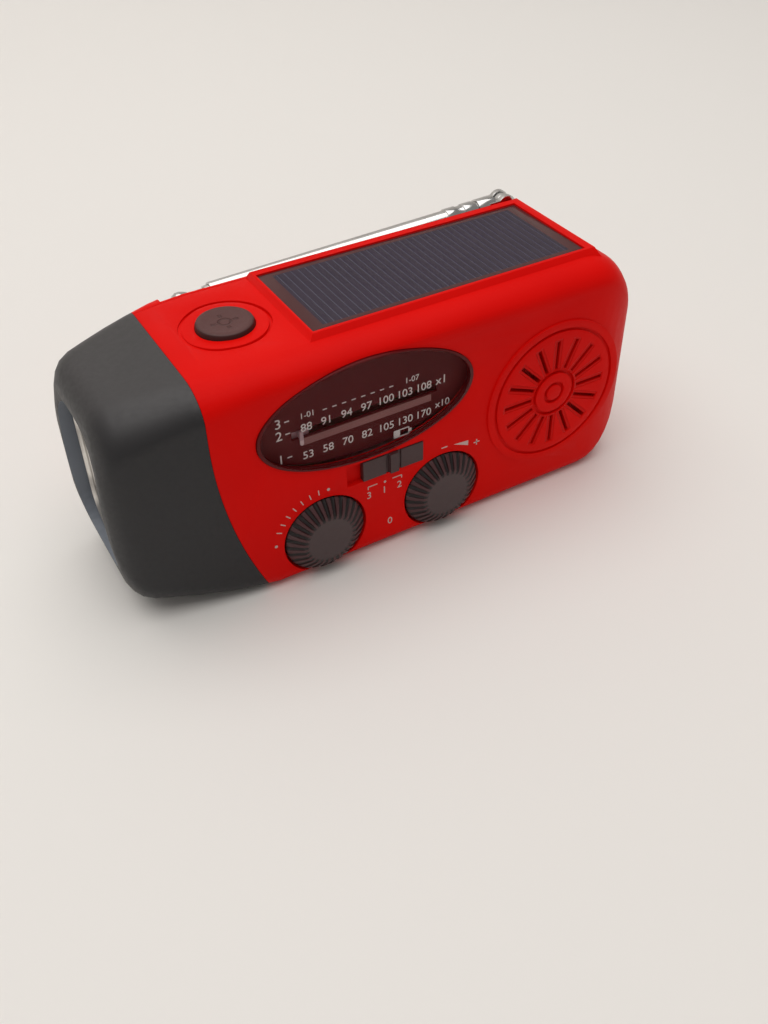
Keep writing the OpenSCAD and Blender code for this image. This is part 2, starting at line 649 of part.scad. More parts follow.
// One tube of the telescope, open at both ends
module tube(i, x0, x1) at_aerial() difference() {
    bar_x(tube_d(i), x0, x1);
    bar_x(tube_d(i) - 2 * aerial_wall, x0 - 1, x1 + 1);
}
module aerial_tube_1() color("silver") {
    tube(0, tube_x0, tube_x1);
    for (x = [-12, -17]) at_aerial() difference() {
        bar_x(aerial_d + 0.5, x, x + 3);
        bar_x(aerial_d - 0.1, x - 1, x + 4);
    }
}
module aerial_tube_2() color("silver") tube(1, tube_x0 - tube_step, tube_x1 - 1);
module aerial_tube_3() color("silver") tube(2, tube_x0 - 2 * tube_step, tube_x1 - 2);
rod_x0 = tube_x0 - 6;
module aerial_rod() color("silver") at_aerial() bar_x(tube_d(3), rod_x0, tube_x1 - 3);
module aerial_tip() color("silver") at_aerial() translate([rod_x0 + 0.8, 0, 0]) rotate([0, -90, 0]) difference() {
    rotate_extrude() polygon([[0, 0], [1.6, 0], [aerial_tip_d / 2 - 0.2, 0.8], [aerial_tip_d / 2, 1.6], [aerial_tip_d / 2, 2.6],
        [aerial_tip_d / 2 - 0.5, 3.4], [aerial_tip_d / 4, 3.9], [0, 4]]);
    translate([0, 0, -1]) cylinder(d = tube_d(3) + 0.02, h = 1.85);
}

hub_d = 16;
module crank_hub() color("#2b2b2d") {
    bar_y(crank_x, crank_z, crank_shaft_d, frame_y0 + 0.2, arm_y1 - 1);
    bar_y(crank_x, crank_z, 9, y_back + 0.3, arm_y1 - 0.5);
    translate([crank_x, arm_y1 + seat / 2, crank_z]) rotate([-90, 0, 0])
        rotate_extrude() polygon([[0, -1.2], [4.4, -1.2], [4.4, 0], [hub_d / 2, 0], [hub_d / 2, 0.5], [hub_d / 2 - 0.7, 1.1], [0, 1.4]]);
}
module crank_arm() color("#2b2b2d") difference() {
    along_y(arm_y0, arm_y1) hull() {
        translate([crank_x, crank_z]) circle(d = hub_d + 1, $fn = 40);
        translate([grip_x, crank_z]) circle(d = crank_w, $fn = 40);
    }
    bar_y(crank_x, crank_z, 9.02, arm_y0 - 1, arm_y1 + 1);
    block([grip_x - 3.4, arm_y0 - 1, crank_z - grip_d / 2 - 0.5], [grip_x + grip_len + 5, arm_y1 + 1, crank_z + grip_d / 2 + 0.5]);
    bar_z(grip_x, grip_y, grip_pin_d + 0.01, crank_z - crank_w, crank_z + crank_w);
}
module grip_pin() color("silver") bar_z(grip_x, grip_y, grip_pin_d, crank_z - crank_w / 2 + 0.4, crank_z + crank_w / 2 - 0.4);
module grip_post() color("silver") difference() {
    union() {
        bar_z(grip_x, grip_y, eye_d, crank_z - grip_d / 2 - 0.2, crank_z + grip_d / 2 + 0.2);
        translate([grip_x + 1, grip_y, crank_z]) rotate([0, 90, 0]) cylinder(d = grip_rod_d, h = grip_len);
    }
    bar_z(grip_x, grip_y, grip_pin_d + 2 * fit, crank_z - 9, crank_z + 9);
}
module crank_grip() color("#2b2b2d") translate([grip_x + 2.6, grip_y, crank_z]) rotate([0, 90, 0]) difference() {
    rotate_extrude() polygon([[0, 0], [grip_d / 2 - 0.8, 0], [grip_d / 2 - 0.2, 1], [grip_d / 2 - 0.5, grip_len / 2],
        [grip_d / 2, grip_len - 3], [grip_d / 2, grip_len - 0.8], [grip_d / 2 - 0.8, grip_len], [0, grip_len]]);
    translate([0, 0, -1]) cylinder(d = grip_rod_d + 2 * fit, h = grip_len);
}

// Involute gear outline
function inv(rb, r) = r <= rb ? 0 : let (t = sqrt(pow(r / rb, 2) - 1)) t * 180 / PI - atan(t);
function half_tooth(z, r) = let (rp = gear_m * z / 2, rb = rp * cos(20))
    90 / z - backlash / 2 / rp * 180 / PI + inv(rb, rp) - inv(rb, r);
module gear(z, phase) let (rp = gear_m * z / 2, rf = rp - 1.2 * gear_m, ra = rp + 0.8 * gear_m,
    rr = [rf, for (i = [0:4]) max(rf + 0.1, rp * cos(20)) + (ra - max(rf + 0.1, rp * cos(20))) * i / 4])
    polygon([for (k = [0:z - 1], s = [-1, 1], j = [0:5]) let (r = rr[s < 0 ? j : 5 - j],
        a = phase + k * 360 / z + s * half_tooth(z, r)) [r * cos(a), r * sin(a)]]);
module gear_y(x, z, phase, y0, y1) along_y(y0, y1) translate([x, crank_z]) gear(z, phase);

module drive_gear() color("ivory") difference() {
    union() {
        gear_y(crank_x, teeth[0], 0, gear_y1 - gear_t, gear_y1);
        bar_y(crank_x, crank_z, 10, gear_y0 + 0.2, gear_y1 - gear_t + 0.1);
    }
    bar_y(crank_x, crank_z, crank_shaft_d + 0.02, gear_y0 - 1, gear_y1 + 1);
    for (i = [0:4]) rotate_at(crank_x, crank_z, i * 72) bar_y(crank_x + 9.4, crank_z, 5.4, gear_y1 - gear_t - 1, gear_y1 + 1);
}
module rotate_at(x, z, a) translate([x, 0, z]) rotate([0, a, 0]) translate([-x, 0, -z]) children();
module idler_gear() color("ivory") difference() {
    union() {
        gear_y(idler_x, teeth[2], 0, gear_y0, gear_y0 + gear_t);
        gear_y(idler_x, teeth[1], 15, gear_y0 + gear_t - 0.1, gear_y1);
    }
    bar_y(idler_x, crank_z, axle_d + 2 * fit, gear_y0 - 1, gear_y1 + 1);
}
module idler_axle() color("silver") bar_y(idler_x, crank_z, axle_d, frame_y0 + 0.2, frame_y1 - 0.2);
module dynamo_pinion() color("goldenrod") {
    gear_y(dynamo_x, teeth[3], 15, gear_y0, gear_y0 + gear_t);
    bar_y(dynamo_x, crank_z, 2, frame_y0 - 4, gear_y0 + 0.1);
}
module dynamo() color("silver") difference() {
    bar_y(dynamo_x, crank_z, dyn_d, frame_y0 - 9, frame_y0 - seat / 2);
    bar_y(dynamo_x, crank_z, 2 + 2 * fit, frame_y0 - 4.4, frame_y0 + 1);
}
module frame_plate() block([dynamo_x - 2.2, 0, crank_z - frame_rise - 2.1], [crank_x + 16, plate_t, crank_z + frame_rise + 2.1]);
module gear_frame() color("gainsboro") difference() {
    union() {
        translate([0, frame_y0, 0]) frame_plate();
        translate([0, frame_y1 - plate_t, 0]) frame_plate();
        for (p = frame_posts) bar_y(p[0], p[1], 4, frame_y0, frame_y1);
    }
    bar_y(crank_x, crank_z, crank_shaft_d + 2 * fit, frame_y0 - 1, frame_y1 + 1);
    bar_y(idler_x, crank_z, axle_d + 0.01, frame_y0 - 1, frame_y1 + 1);
    bar_y(dynamo_x, crank_z, 8, frame_y0 - 1, gear_y0 + gear_t);
}

module charge_board() color("darkgreen") block([port_x - port_l / 2, charge_y - charge_t, 4], [port_x + port_l / 2, charge_y, 24]);

// Sheet-metal sleeve of a charging socket
module socket(x, s, w) difference() {
    block([x - s[0] / 2, charge_y + seat, port_z - s[1] / 2], [x + s[0] / 2, y_back - port_sink - 0.4, port_z + s[1] / 2]);
    block([x - s[0] / 2 + w, charge_y + 1, port_z - s[1] / 2 + w], [x + s[0] / 2 - w, y_back, port_z + s[1] / 2 - w]);
}
module usb_a_socket() color("silver") socket(port_x + 4.2, usb_a, 0.4);
module usb_c_socket() color("silver") {
    socket(port_x - 7.6, usb_c, 0.3);
    block([port_x - 7.6 - 2.8, charge_y + 0.9, port_z - 0.35], [port_x - 7.6 + 2.8, y_back - port_sink - 2, port_z + 0.35]);
}

// Rubber flap over the charging sockets
module port_cover() color("#2a2a2c") difference() {
    union() {
        bar_z(port_x - port_l / 2 + cover_t / 2, y_back - port_sink + cover_t / 2, cover_t, port_z - port_h / 2, port_z + port_h / 2);
        block([port_x - port_l / 2 + cover_t / 2, y_back - port_sink, port_z - port_h / 2],
            [port_x + port_l / 2, y_back - port_sink + cover_t, port_z + port_h / 2]);
    }
    block([port_x + port_l / 2 - 1.2, y_back - port_sink - 1, port_z - 2.5], [port_x + port_l / 2 + 1, y_back - 0.4, port_z + 2.5]);
    for (i = [0:3]) block([port_x + 5 + 1.4 * i, y_back - 0.1, port_z - 3], [port_x + 5.6 + 1.4 * i, y_back + 1, port_z + 3]);
}

module housing_screws() color("silver") for (p = cover_posts) {
    bar_y(p[0], p[1], screw_d, y_part - 11, y_back - 2.4);
    difference() {
        bar_y(p[0], p[1], 5.2, y_back - 2.4 + seat / 2, y_back - 0.9);
        for (a = [0, 90]) rotate_at(p[0], p[1], a) block([p[0] - 1.6, y_back - 1.8, p[1] - 0.3], [p[0] + 1.6, y_back, p[1] + 0.3]);
    }
}

front_shell();
rear_shell();
lamp_hood();
lamp_lens();
lamp_reflector();
lamp_leds();
led_board();
solar_panel();
torch_button();
torch_switch();
dial_window();
dial_plate();
dial_pointer();
tuning_knob();
tuning_capacitor();
volume_knob();
volume_control();
band_slider();
band_switch();
speaker_basket();
speaker_cone();
speaker_magnet();
main_board();
board_chips();
ferrite_rod();
ferrite_coils();
battery_cell();
aerial_base();
aerial_knuckle();
aerial_pin();
aerial_tube_1();
aerial_tube_2();
aerial_tube_3();
aerial_rod();
aerial_tip();
crank_hub();
crank_arm();
grip_post();
crank_grip();
grip_pin();
drive_gear();
idler_gear();
idler_axle();
dynamo_pinion();
dynamo();
gear_frame();
charge_board();
usb_a_socket();
usb_c_socket();
port_cover();
housing_screws();
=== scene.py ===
"""Looks of the hand-crank emergency radio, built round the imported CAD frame."""

import math

import bmesh
import bpy
from mathutils import Matrix, Vector


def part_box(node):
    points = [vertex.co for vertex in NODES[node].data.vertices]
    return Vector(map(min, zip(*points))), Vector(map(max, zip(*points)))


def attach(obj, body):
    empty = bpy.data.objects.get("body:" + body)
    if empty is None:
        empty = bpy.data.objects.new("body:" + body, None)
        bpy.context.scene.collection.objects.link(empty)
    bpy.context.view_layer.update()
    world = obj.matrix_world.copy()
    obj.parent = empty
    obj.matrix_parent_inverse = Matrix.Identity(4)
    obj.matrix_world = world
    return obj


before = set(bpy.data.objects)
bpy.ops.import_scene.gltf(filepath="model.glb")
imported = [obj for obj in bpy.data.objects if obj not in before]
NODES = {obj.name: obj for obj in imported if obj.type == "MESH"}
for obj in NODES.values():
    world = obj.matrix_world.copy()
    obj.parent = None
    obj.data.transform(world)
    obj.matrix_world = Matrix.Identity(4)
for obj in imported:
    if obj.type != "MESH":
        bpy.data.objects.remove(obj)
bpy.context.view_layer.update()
MM = 0.001
X, Y, Z = 0, 1, 2


def size_mm(node):
    """Lowest and highest corner of a CAD node in millimetres."""
    low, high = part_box(node)
    return low / MM, high / MM


# ---------------------------------------------------------------- camera

CAMERA_AZIMUTH = -29.37      # degrees round the radio, from straight in front
CAMERA_ELEVATION = 40.88     # degrees above the horizon
CAMERA_ROLL = -1.115         # degrees
CAMERA_PLACE = Vector((-96.26, -183.41, 170.55)) * MM
CAMERA_LENS = 36.81          # millimetres on a sensor 36 mm high


def make_camera():
    """Camera fitted to the photo."""
    a, e, r = (math.radians(v) for v in (CAMERA_AZIMUTH, CAMERA_ELEVATION, CAMERA_ROLL))
    back = Vector((math.sin(a) * math.cos(e), -math.cos(a) * math.cos(e), math.sin(e)))
    side = Vector((math.cos(a), math.sin(a), 0))
    up = back.cross(side)
    right = side * math.cos(r) + up * math.sin(r)
    up = back.cross(right)
    data = bpy.data.cameras.new("camera")
    data.sensor_fit = "VERTICAL"
    data.sensor_height = 36
    data.lens = CAMERA_LENS
    data.clip_start = 0.01
    camera = bpy.data.objects.new("camera", data)
    camera.matrix_world = Matrix.Translation(CAMERA_PLACE) @ Matrix((right, up, back)).transposed().to_4x4()
    bpy.context.scene.collection.objects.link(camera)
    bpy.context.scene.camera = camera


make_camera()


# ---------------------------------------------------------------- material tools

SPARK_GRAIN = 0.6      # width in millimetres of the fine grain of a moulded surface
KNOB_FLUTES = 28
SPEAKER_SLOTS = 16
SLOT_FROM, SLOT_TO = 6.6, 14.2      # radii in millimetres between which the speaker slots run
RED_BRIGHT, RED_DEEP = (0.74, 0.004, 0.002), (0.68, 0.003, 0.002)
RED_LOOK = {"rough": (0.40, 0.48), "specular": 0.05}
CONTROL_LOOK = {"rough": (0.42, 0.52)}
BLACK_LOOK = {"rough": (0.5, 0.62), "grain": 0.1}


class Graph:
    """A small helper that builds one node material. Places are object coordinates in metres."""

    def __init__(self, name):
        self.material = bpy.data.materials.new(name)
        self.material.use_nodes = True
        self.tree = self.material.node_tree
        self.shader = self.tree.nodes["Principled BSDF"]
        self.place = self.tree.nodes.new("ShaderNodeTexCoord").outputs["Object"]
        self.axes = self.node("ShaderNodeSeparateXYZ", {0: self.place}).outputs

    def node(self, kind, inputs=None, **settings):
        n = self.tree.nodes.new(kind)
        for key, value in settings.items():
            setattr(n, key, value)
        for key, value in (inputs or {}).items():
            if isinstance(value, bpy.types.NodeSocket):
                self.tree.links.new(value, n.inputs[key])
            else:
                n.inputs[key].default_value = value
        return n

    def noise(self, scale, detail=3, rough=0.55, stretch=None):
        vector = self.vector("MULTIPLY", self.place, stretch) if stretch else self.place
        inputs = {"Vector": vector, "Scale": scale, "Detail": detail, "Roughness": rough}
        return self.node("ShaderNodeTexNoise", inputs).outputs["Fac"]

    def math(self, operation, a, b=0.0):
        return self.node("ShaderNodeMath", {0: a, 1: b}, operation=operation).outputs[0]

    def vector(self, operation, a, b, output="Vector"):
        return self.node("ShaderNodeVectorMath", {0: a, 1: b}, operation=operation).outputs[output]

    def fit(self, value, low, high, out_low=0.0, out_high=1.0):
        inputs = {"Value": value, "From Min": low, "From Max": high, "To Min": out_low, "To Max": out_high}
        return self.node("ShaderNodeMapRange", inputs).outputs["Result"]

    def near(self, value, centre, inner, outer):
        """One within inner of the centre, falling to nothing at outer."""
        return self.fit(self.math("ABSOLUTE", self.math("SUBTRACT", value, centre)), inner, outer, 1, 0)

    def both(self, first, *others):
        """Product of masks."""
        for other in others:
            first = self.math("MULTIPLY", first, other)
        return first

    def square(self, value):
        return self.math("MULTIPLY", value, value)

    def from_middle(self, node, axis):
        """Signed distance along an axis from the middle of a CAD node."""
        low, high = size_mm(node)
        return self.math("SUBTRACT", self.axes[axis], (low[axis] + high[axis]) / 2 * MM)

    def polar(self, node, across, up):
        """Distance and angle round the middle of a CAD node, in the plane of two axes."""
        u, v = self.from_middle(node, across), self.from_middle(node, up)
        radius = self.math("SQRT", self.math("ADD", self.square(u), self.square(v)))
        return radius, self.math("ARCTAN2", v, u)

    def mix(self, factor, a, b):
        n = self.node("ShaderNodeMix", data_type="RGBA")
        for index, value in ((0, factor), (6, a), (7, b)):
            if isinstance(value, bpy.types.NodeSocket):
                self.tree.links.new(value, n.inputs[index])
            else:
                n.inputs[index].default_value = value if index == 0 else (*value, 1)
        return n.outputs[2]

    def drift(self, a, b):
        """Slow drift between two close colours."""
        return self.mix(self.fit(self.noise(28, 2), 0.35, 0.65), a, b)

    def bump(self, height, strength, distance_mm, normal=None, sunk=False):
        inputs = {"Height": height, "Strength": strength, "Distance": distance_mm * MM}
        if normal:
            inputs["Normal"] = normal
        return self.node("ShaderNodeBump", inputs, invert=sunk).outputs["Normal"]

    def set(self, **values):
        """Fills the shader's sockets; an underscore stands for a space."""
        for key, value in values.items():
            socket = self.shader.inputs[key.replace("_", " ")]
            if isinstance(value, bpy.types.NodeSocket):
                self.tree.links.new(value, socket)
            else:
                socket.default_value = value
        return self.material


def mould(g, colour, rough, grain=0.06, specular=0.5, relief=None):
    """Moulded surface: fine spark texture and a little uneven gloss under a colour."""
    normal = g.bump(g.noise(1 / (SPARK_GRAIN * MM), 2, 0.6), grain, 0.02)
    normal = g.bump(g.noise(45, 2), 0.02, 0.2, normal)
    if relief:
        normal = g.bump(relief, 0.8, 0.3, normal, sunk=True)
    return g.set(Base_Color=colour, Roughness=g.fit(g.noise(900, 2), 0.3, 0.7, *rough), Normal=normal,
                 Specular_IOR_Level=specular)


def moulded(name, colour, deep, **look):
    """Plain moulded plastic with a slow drift between two close colours."""
    g = Graph(name)
    return mould(g, g.drift(deep, colour), **look)


def front_plastic():
    """Red plastic of the front shell; each speaker slot lies in a shallow sunk channel, painted a little
    darker as shade.
    """
    behind_face, fade, half_width = 1.2, 0.5, (0.95, 1.2)      # millimetres
    face = size_mm("speaker_basket")[0].y - behind_face
    g = Graph("front_red_plastic")
    radius, angle = g.polar("speaker_basket", X, Z)
    step = 2 * math.pi / SPEAKER_SLOTS
    turn = g.math("FRACT", g.math("ADD", g.math("DIVIDE", angle, step), 0.5))
    aside = g.math("MULTIPLY", radius, g.math("MULTIPLY", g.math("SUBTRACT", turn, 0.5), step))
    channel = g.near(aside, 0, half_width[0] * MM, half_width[1] * MM)
    start = g.fit(radius, (SLOT_FROM - fade) * MM, SLOT_FROM * MM)
    end = g.fit(radius, SLOT_TO * MM, (SLOT_TO + fade) * MM, 1, 0)
    sunk = g.both(channel, g.math("LESS_THAN", g.axes[Y], face * MM), start, end)
    # Painted shade: the sunk channels are painted a little darker.
    shaded = g.mix(g.math("MULTIPLY", sunk, 0.25), g.drift(RED_DEEP, RED_BRIGHT), (0.30, 0.002, 0.001))
    return mould(g, shaded, relief=sunk, **RED_LOOK)


def hood_plastic():
    """Soft black outside with a painted sheen on the faces that look up; the walls inside the mouth are
    painted a paler blue-grey, as painted light from the bright surroundings.
    """
    low, high = size_mm("lamp_hood")
    middle = (0, (low.y + high.y) / 2 * MM, (low.z + high.z) / 2 * MM)
    g = Graph("soft_black")
    across = g.vector("MULTIPLY", g.vector("SUBTRACT", g.place, middle), (0, 1, 1))
    normal = g.node("ShaderNodeTexCoord").outputs["Normal"]
    # Walls that face the head's long axis from at least this many millimetres away
    inward = g.math("LESS_THAN", g.vector("DOT_PRODUCT", across, normal, "Value"), -4 * MM)
    upward = g.fit(g.node("ShaderNodeSeparateXYZ", {0: normal}).outputs[Z], 0.3, 0.95)
    handled = g.mix(g.noise(28, 2), (0.013, 0.0125, 0.014), (0.018, 0.017, 0.019))
    # Painted sheen: faces that look up are painted lighter, standing in for the reflection of the light
    # overhead.
    painted_top_sheen = g.mix(g.noise(60, 4), (0.034, 0.032, 0.033), (0.046, 0.042, 0.043))
    outside = g.mix(upward, handled, painted_top_sheen)
    # Painted light: the walls inside the mouth are painted a paler blue-grey, as if lit from the bright
    # surroundings.
    inside = g.mix(g.noise(40, 2), (0.158, 0.175, 0.205), (0.195, 0.215, 0.250))
    return mould(g, g.mix(inward, outside, inside), rough=(0.44, 0.54), grain=0.1, specular=0.4)


def knob_plastic(node):
    """Control plastic with painted shade in the sunk flutes, in step with those of a knob."""
    face_edge, flutes_full = 5.4, 6.0      # radii in millimetres
    g = Graph(node + "_plastic")
    radius, angle = g.polar(node, X, Z)
    valley = g.fit(g.math("COSINE", g.math("MULTIPLY", angle, KNOB_FLUTES)), -0.35, 0.45)
    ring = g.fit(radius, face_edge * MM, flutes_full * MM)
    face = g.mix(g.noise(50, 2), (0.052, 0.029, 0.030), (0.060, 0.034, 0.035))
    # Painted shade: the flute valleys are painted near black, and the painted flutes reach a little inwards
    # over the flat face.
    shaded_flutes = g.mix(valley, (0.060, 0.016, 0.018), (0.005, 0.0005, 0.0005))
    return mould(g, g.mix(ring, face, shaded_flutes), relief=g.math("MULTIPLY", ring, valley), **CONTROL_LOOK)


def button_plastic():
    """Torch button: painted shade as a darker rim round the top, and a faint sunk moulded ring with four
    rays drawn darker.
    """
    low, high = size_mm("torch_button")
    rim, ring_at, rays_at = (high.x - low.x) / 2, 1.3, 2.5      # radii in millimetres
    g = Graph("button_plastic")
    radius, angle = g.polar("torch_button", X, Y)
    # Painted shade: the rim round the top is painted darker.
    edge = g.fit(radius, (rim - 1.3) * MM, (rim - 0.7) * MM)
    ring = g.near(radius, ring_at * MM, 0.12 * MM, 0.3 * MM)
    rays = g.fit(g.math("COSINE", g.math("MULTIPLY", angle, 4)), 0.75, 0.95)
    reach = g.near(radius, rays_at * MM, 0.45 * MM, 0.6 * MM)
    mark = g.math("MAXIMUM", ring, g.math("MULTIPLY", rays, reach))
    top = g.drift((0.074, 0.026, 0.024), (0.096, 0.033, 0.031))
    marked_top = g.mix(g.math("MULTIPLY", mark, 0.5), top, (0.045, 0.012, 0.011))
    return mould(g, g.mix(edge, marked_top, (0.040, 0.011, 0.010)), rough=(0.42, 0.52), specular=0.3, relief=mark)


def screen_plastic():
    """Red plastic moulded as a fine square mesh."""
    pitch = 0.5 * MM
    g = Graph("dust_screen")
    ribs = [g.math("SINE", g.math("MULTIPLY", g.axes[axis], 2 * math.pi / pitch)) for axis in (X, Z)]
    mesh = g.fit(g.math("MULTIPLY", *ribs), -1, 1)
    colour = g.mix(mesh, (0.66, 0.020, 0.016), (0.88, 0.034, 0.028))
    return mould(g, colour, rough=(0.8, 0.9), specular=0.1, relief=mesh)


def plating():
    """Satin plating broken into small facets, as on the rim round a lamp lens."""
    g = Graph("bezel_plating")
    facets = g.noise(170, 1)
    colour = g.mix(g.fit(facets, 0.42, 0.58), (0.42, 0.40, 0.38), (0.72, 0.69, 0.65))
    return g.set(Base_Color=colour, Metallic=1.0, Roughness=g.fit(g.noise(600, 2), 0.3, 0.7, 0.30, 0.42),
                 Normal=g.bump(facets, 0.35, 0.8))


def metal(name, colour, rough, brushed=None):
    """Metal with faint stains, or with fine streaks where brushed stretches them."""
    g = Graph(name)
    streak = g.noise(400, 3, 0.6, brushed) if brushed else g.noise(180, 4)
    share = g.fit(streak, 0.3, 0.7)
    return g.set(Base_Color=g.mix(share, tuple(c * 0.86 for c in colour), colour), Metallic=1.0,
                 Roughness=g.fit(streak, 0.3, 0.7, *rough), Normal=g.bump(streak, 0.04, 0.02))


def glaze(g, colour, deep, alpha, rough, **more):
    """Smooth see-through surface with faint smears."""
    smear = g.noise(35, 4)
    return g.set(Base_Color=g.mix(smear, deep, colour), Roughness=g.fit(smear, 0.3, 0.7, *rough),
                 Normal=g.bump(g.noise(25, 2), 0.02, 0.1), Alpha=alpha, **more)


def dial_glass():
    """Clear dark window with an opaque border along its oval edge."""
    low, high = size_mm("dial_window")
    g = Graph("dial_glass")
    shares = []
    for axis in (X, Z):
        half = (high[axis] - low[axis]) / 2 * MM
        shares.append(g.square(g.math("DIVIDE", g.from_middle("dial_window", axis), half)))
    alpha = g.fit(g.math("ADD", *shares), 0.92, 0.95, 0.12, 1)
    return glaze(g, (0.105, 0.004, 0.005), (0.085, 0.003, 0.004), alpha, (0.08, 0.14),
                 Specular_IOR_Level=0.17)


def solar_cells():
    """Dark cells with pale lines in step with the panel's grooves."""
    low, high = size_mm("solar_panel")
    lines, margin, past_end, side_margin = 35, 4, 1, 1.6      # the last three in millimetres
    lined = high.x - low.x - 2 * margin
    g = Graph("solar_cells")
    x = g.math("SUBTRACT", g.axes[X], (low.x + margin) * MM)
    phase = g.math("FRACT", g.math("ADD", g.math("DIVIDE", x, lined / lines * MM), 0.5))
    line = g.near(phase, 0.5, 0.03, 0.10)
    after = g.math("GREATER_THAN", x, -past_end * MM)
    before = g.math("LESS_THAN", x, (lined + past_end) * MM)
    aside = g.math("ABSOLUTE", g.from_middle("solar_panel", Y))
    half = (high.y - low.y) / 2 - side_margin
    inside = g.both(after, before, g.math("LESS_THAN", aside, half * MM))
    cell = g.mix(g.noise(90, 3), (0.019, 0.011, 0.025), (0.028, 0.017, 0.037))
    body = g.mix(inside, (0.070, 0.020, 0.021), cell)
    return g.set(Base_Color=g.mix(g.math("MULTIPLY", line, inside), body, (0.088, 0.083, 0.120)),
                 Roughness=g.fit(g.noise(60), 0.3, 0.7, 0.16, 0.26), Specular_IOR_Level=0.22,
                 Normal=g.bump(g.noise(500, 2), 0.03, 0.02))


FRONT_RED = front_plastic()
RED = moulded("red_plastic", RED_BRIGHT, RED_DEEP, **RED_LOOK)
HOOD = hood_plastic()
BLACK = moulded("crank_black", (0.034, 0.033, 0.035), (0.026, 0.025, 0.027), **BLACK_LOOK)
TUNING = knob_plastic("tuning_knob")
VOLUME = knob_plastic("volume_knob")
BUTTON = button_plastic()
CONTROL = moulded("control_plastic", (0.052, 0.020, 0.021), (0.043, 0.016, 0.017), **CONTROL_LOOK)
CHROME = metal("chrome", (0.60, 0.59, 0.58), (0.12, 0.22))
STEEL = metal("steel", (0.55, 0.55, 0.56), (0.25, 0.4), brushed=(1, 1, 12))
REFLECTOR = metal("reflector_plating", (0.88, 0.88, 0.87), (0.05, 0.12))
SCREEN = screen_plastic()
BEZEL = plating()
BRASS = metal("brass", (0.72, 0.52, 0.2), (0.2, 0.3))
COPPER = metal("copper_wire", (0.72, 0.33, 0.17), (0.25, 0.35), brushed=(14, 1, 1))
LENS = glaze(Graph("clear_lens"), (0.85, 0.90, 0.95), (0.68, 0.72, 0.76), 0.18, (0.03, 0.07))
DIAL_GLASS = dial_glass()
DIAL_PRINT = moulded("dial_print", (0.125, 0.012, 0.012), (0.090, 0.008, 0.009), rough=(0.5, 0.6),
                     grain=0.01, specular=0.2)
BOARD = moulded("circuit_board", (0.02, 0.14, 0.05), (0.012, 0.09, 0.035), rough=(0.25, 0.4))
CHIP = moulded("chip_resin", (0.02, 0.02, 0.022), (0.014, 0.014, 0.015), rough=(0.5, 0.6))
FERRITE = moulded("ferrite", (0.05, 0.05, 0.055), (0.03, 0.03, 0.033), rough=(0.55, 0.7), grain=0.3)
NYLON = moulded("nylon", (0.78, 0.74, 0.64), (0.68, 0.64, 0.55), rough=(0.38, 0.5))
CELL = moulded("cell_sleeve", (0.03, 0.12, 0.35), (0.02, 0.08, 0.26), rough=(0.2, 0.3))
# Painted light: the cone paper's dark red stands in for the red-lit shade inside the housing, seen through
# the speaker slots.
CONE = moulded("cone_paper", (0.10, 0.012, 0.010), (0.07, 0.009, 0.008), rough=(0.7, 0.85), grain=0.3)
RUBBER = moulded("rubber", (0.022, 0.022, 0.023), (0.016, 0.016, 0.017), rough=(0.6, 0.75), grain=0.2)
DIODE = moulded("diode_resin", (0.85, 0.83, 0.62), (0.75, 0.72, 0.5), rough=(0.08, 0.14))
POINTER = moulded("pointer_plastic", (0.62, 0.42, 0.45), (0.5, 0.32, 0.35), rough=(0.3, 0.4))
INK = moulded("white_ink", (0.62, 0.43, 0.40), (0.54, 0.37, 0.34), rough=(0.5, 0.65))
DIAL_INK = moulded("dial_ink", (0.95, 0.90, 0.88), (0.88, 0.83, 0.81), rough=(0.5, 0.65))
DIAL_BAR = moulded("dial_bar", (0.42, 0.19, 0.18), (0.30, 0.125, 0.12), rough=(0.5, 0.6), grain=0.01)
NEEDLE = moulded("needle_plastic", (0.80, 0.60, 0.62), (0.72, 0.52, 0.54), rough=(0.3, 0.4), grain=0.01)
SOLAR = solar_cells()

FINISH = {
    "front_shell": FRONT_RED, "rear_shell": RED, "lamp_hood": HOOD, "lamp_lens": LENS,
    "lamp_reflector": REFLECTOR, "lamp_leds": DIODE, "led_board": BOARD, "solar_panel": SOLAR,
    "torch_button": BUTTON, "torch_switch": CHIP, "dial_window": DIAL_GLASS, "dial_plate": DIAL_PRINT,
    "dial_pointer": POINTER, "tuning_knob": TUNING, "tuning_capacitor": NYLON, "volume_knob": VOLUME,
    "volume_control": STEEL, "band_slider": CONTROL, "band_switch": STEEL, "speaker_basket": STEEL,
    "speaker_cone": CONE, "speaker_magnet": FERRITE, "main_board": BOARD, "board_chips": CHIP,
    "ferrite_rod": FERRITE, "ferrite_coils": COPPER, "battery_cell": CELL, "aerial_base": CHROME,
    "aerial_knuckle": CHROME, "aerial_pin": CHROME, "aerial_tube_1": CHROME, "aerial_tube_2": CHROME,
    "aerial_tube_3": CHROME, "aerial_rod": CHROME, "aerial_tip": CHROME, "crank_hub": BLACK,
    "crank_arm": BLACK, "grip_post": STEEL, "crank_grip": BLACK, "grip_pin": STEEL, "drive_gear": NYLON,
    "idler_gear": NYLON, "idler_axle": STEEL, "dynamo_pinion": BRASS, "dynamo": STEEL, "gear_frame": NYLON,
    "charge_board": BOARD, "usb_a_socket": STEEL, "usb_c_socket": STEEL, "port_cover": RUBBER,
    "housing_screws": STEEL,
}

# Width in millimetres of the softened edges of the pieces that show
EDGES = {
    "front_shell": 0.3, "rear_shell": 0.3, "lamp_hood": 0.8, "torch_button": 0.2, "tuning_knob": 0.1,
    "volume_knob": 0.1, "band_slider": 0.15, "crank_arm": 0.5, "crank_hub": 0.2, "crank_grip": 0.2,
    "aerial_knuckle": 0.2, "aerial_base": 0.15, "aerial_tip": 0.1, "aerial_tube_1": 0.08,
    "port_cover": 0.25, "solar_panel": 0.05, "dial_window": 0.2, "dial_pointer": 0.1, "lamp_lens": 0.2,
}
WELD_GAP = 0.002       # millimetres
BEVEL_ANGLE = math.radians(35)
SPLIT_ANGLE = math.radians(42)


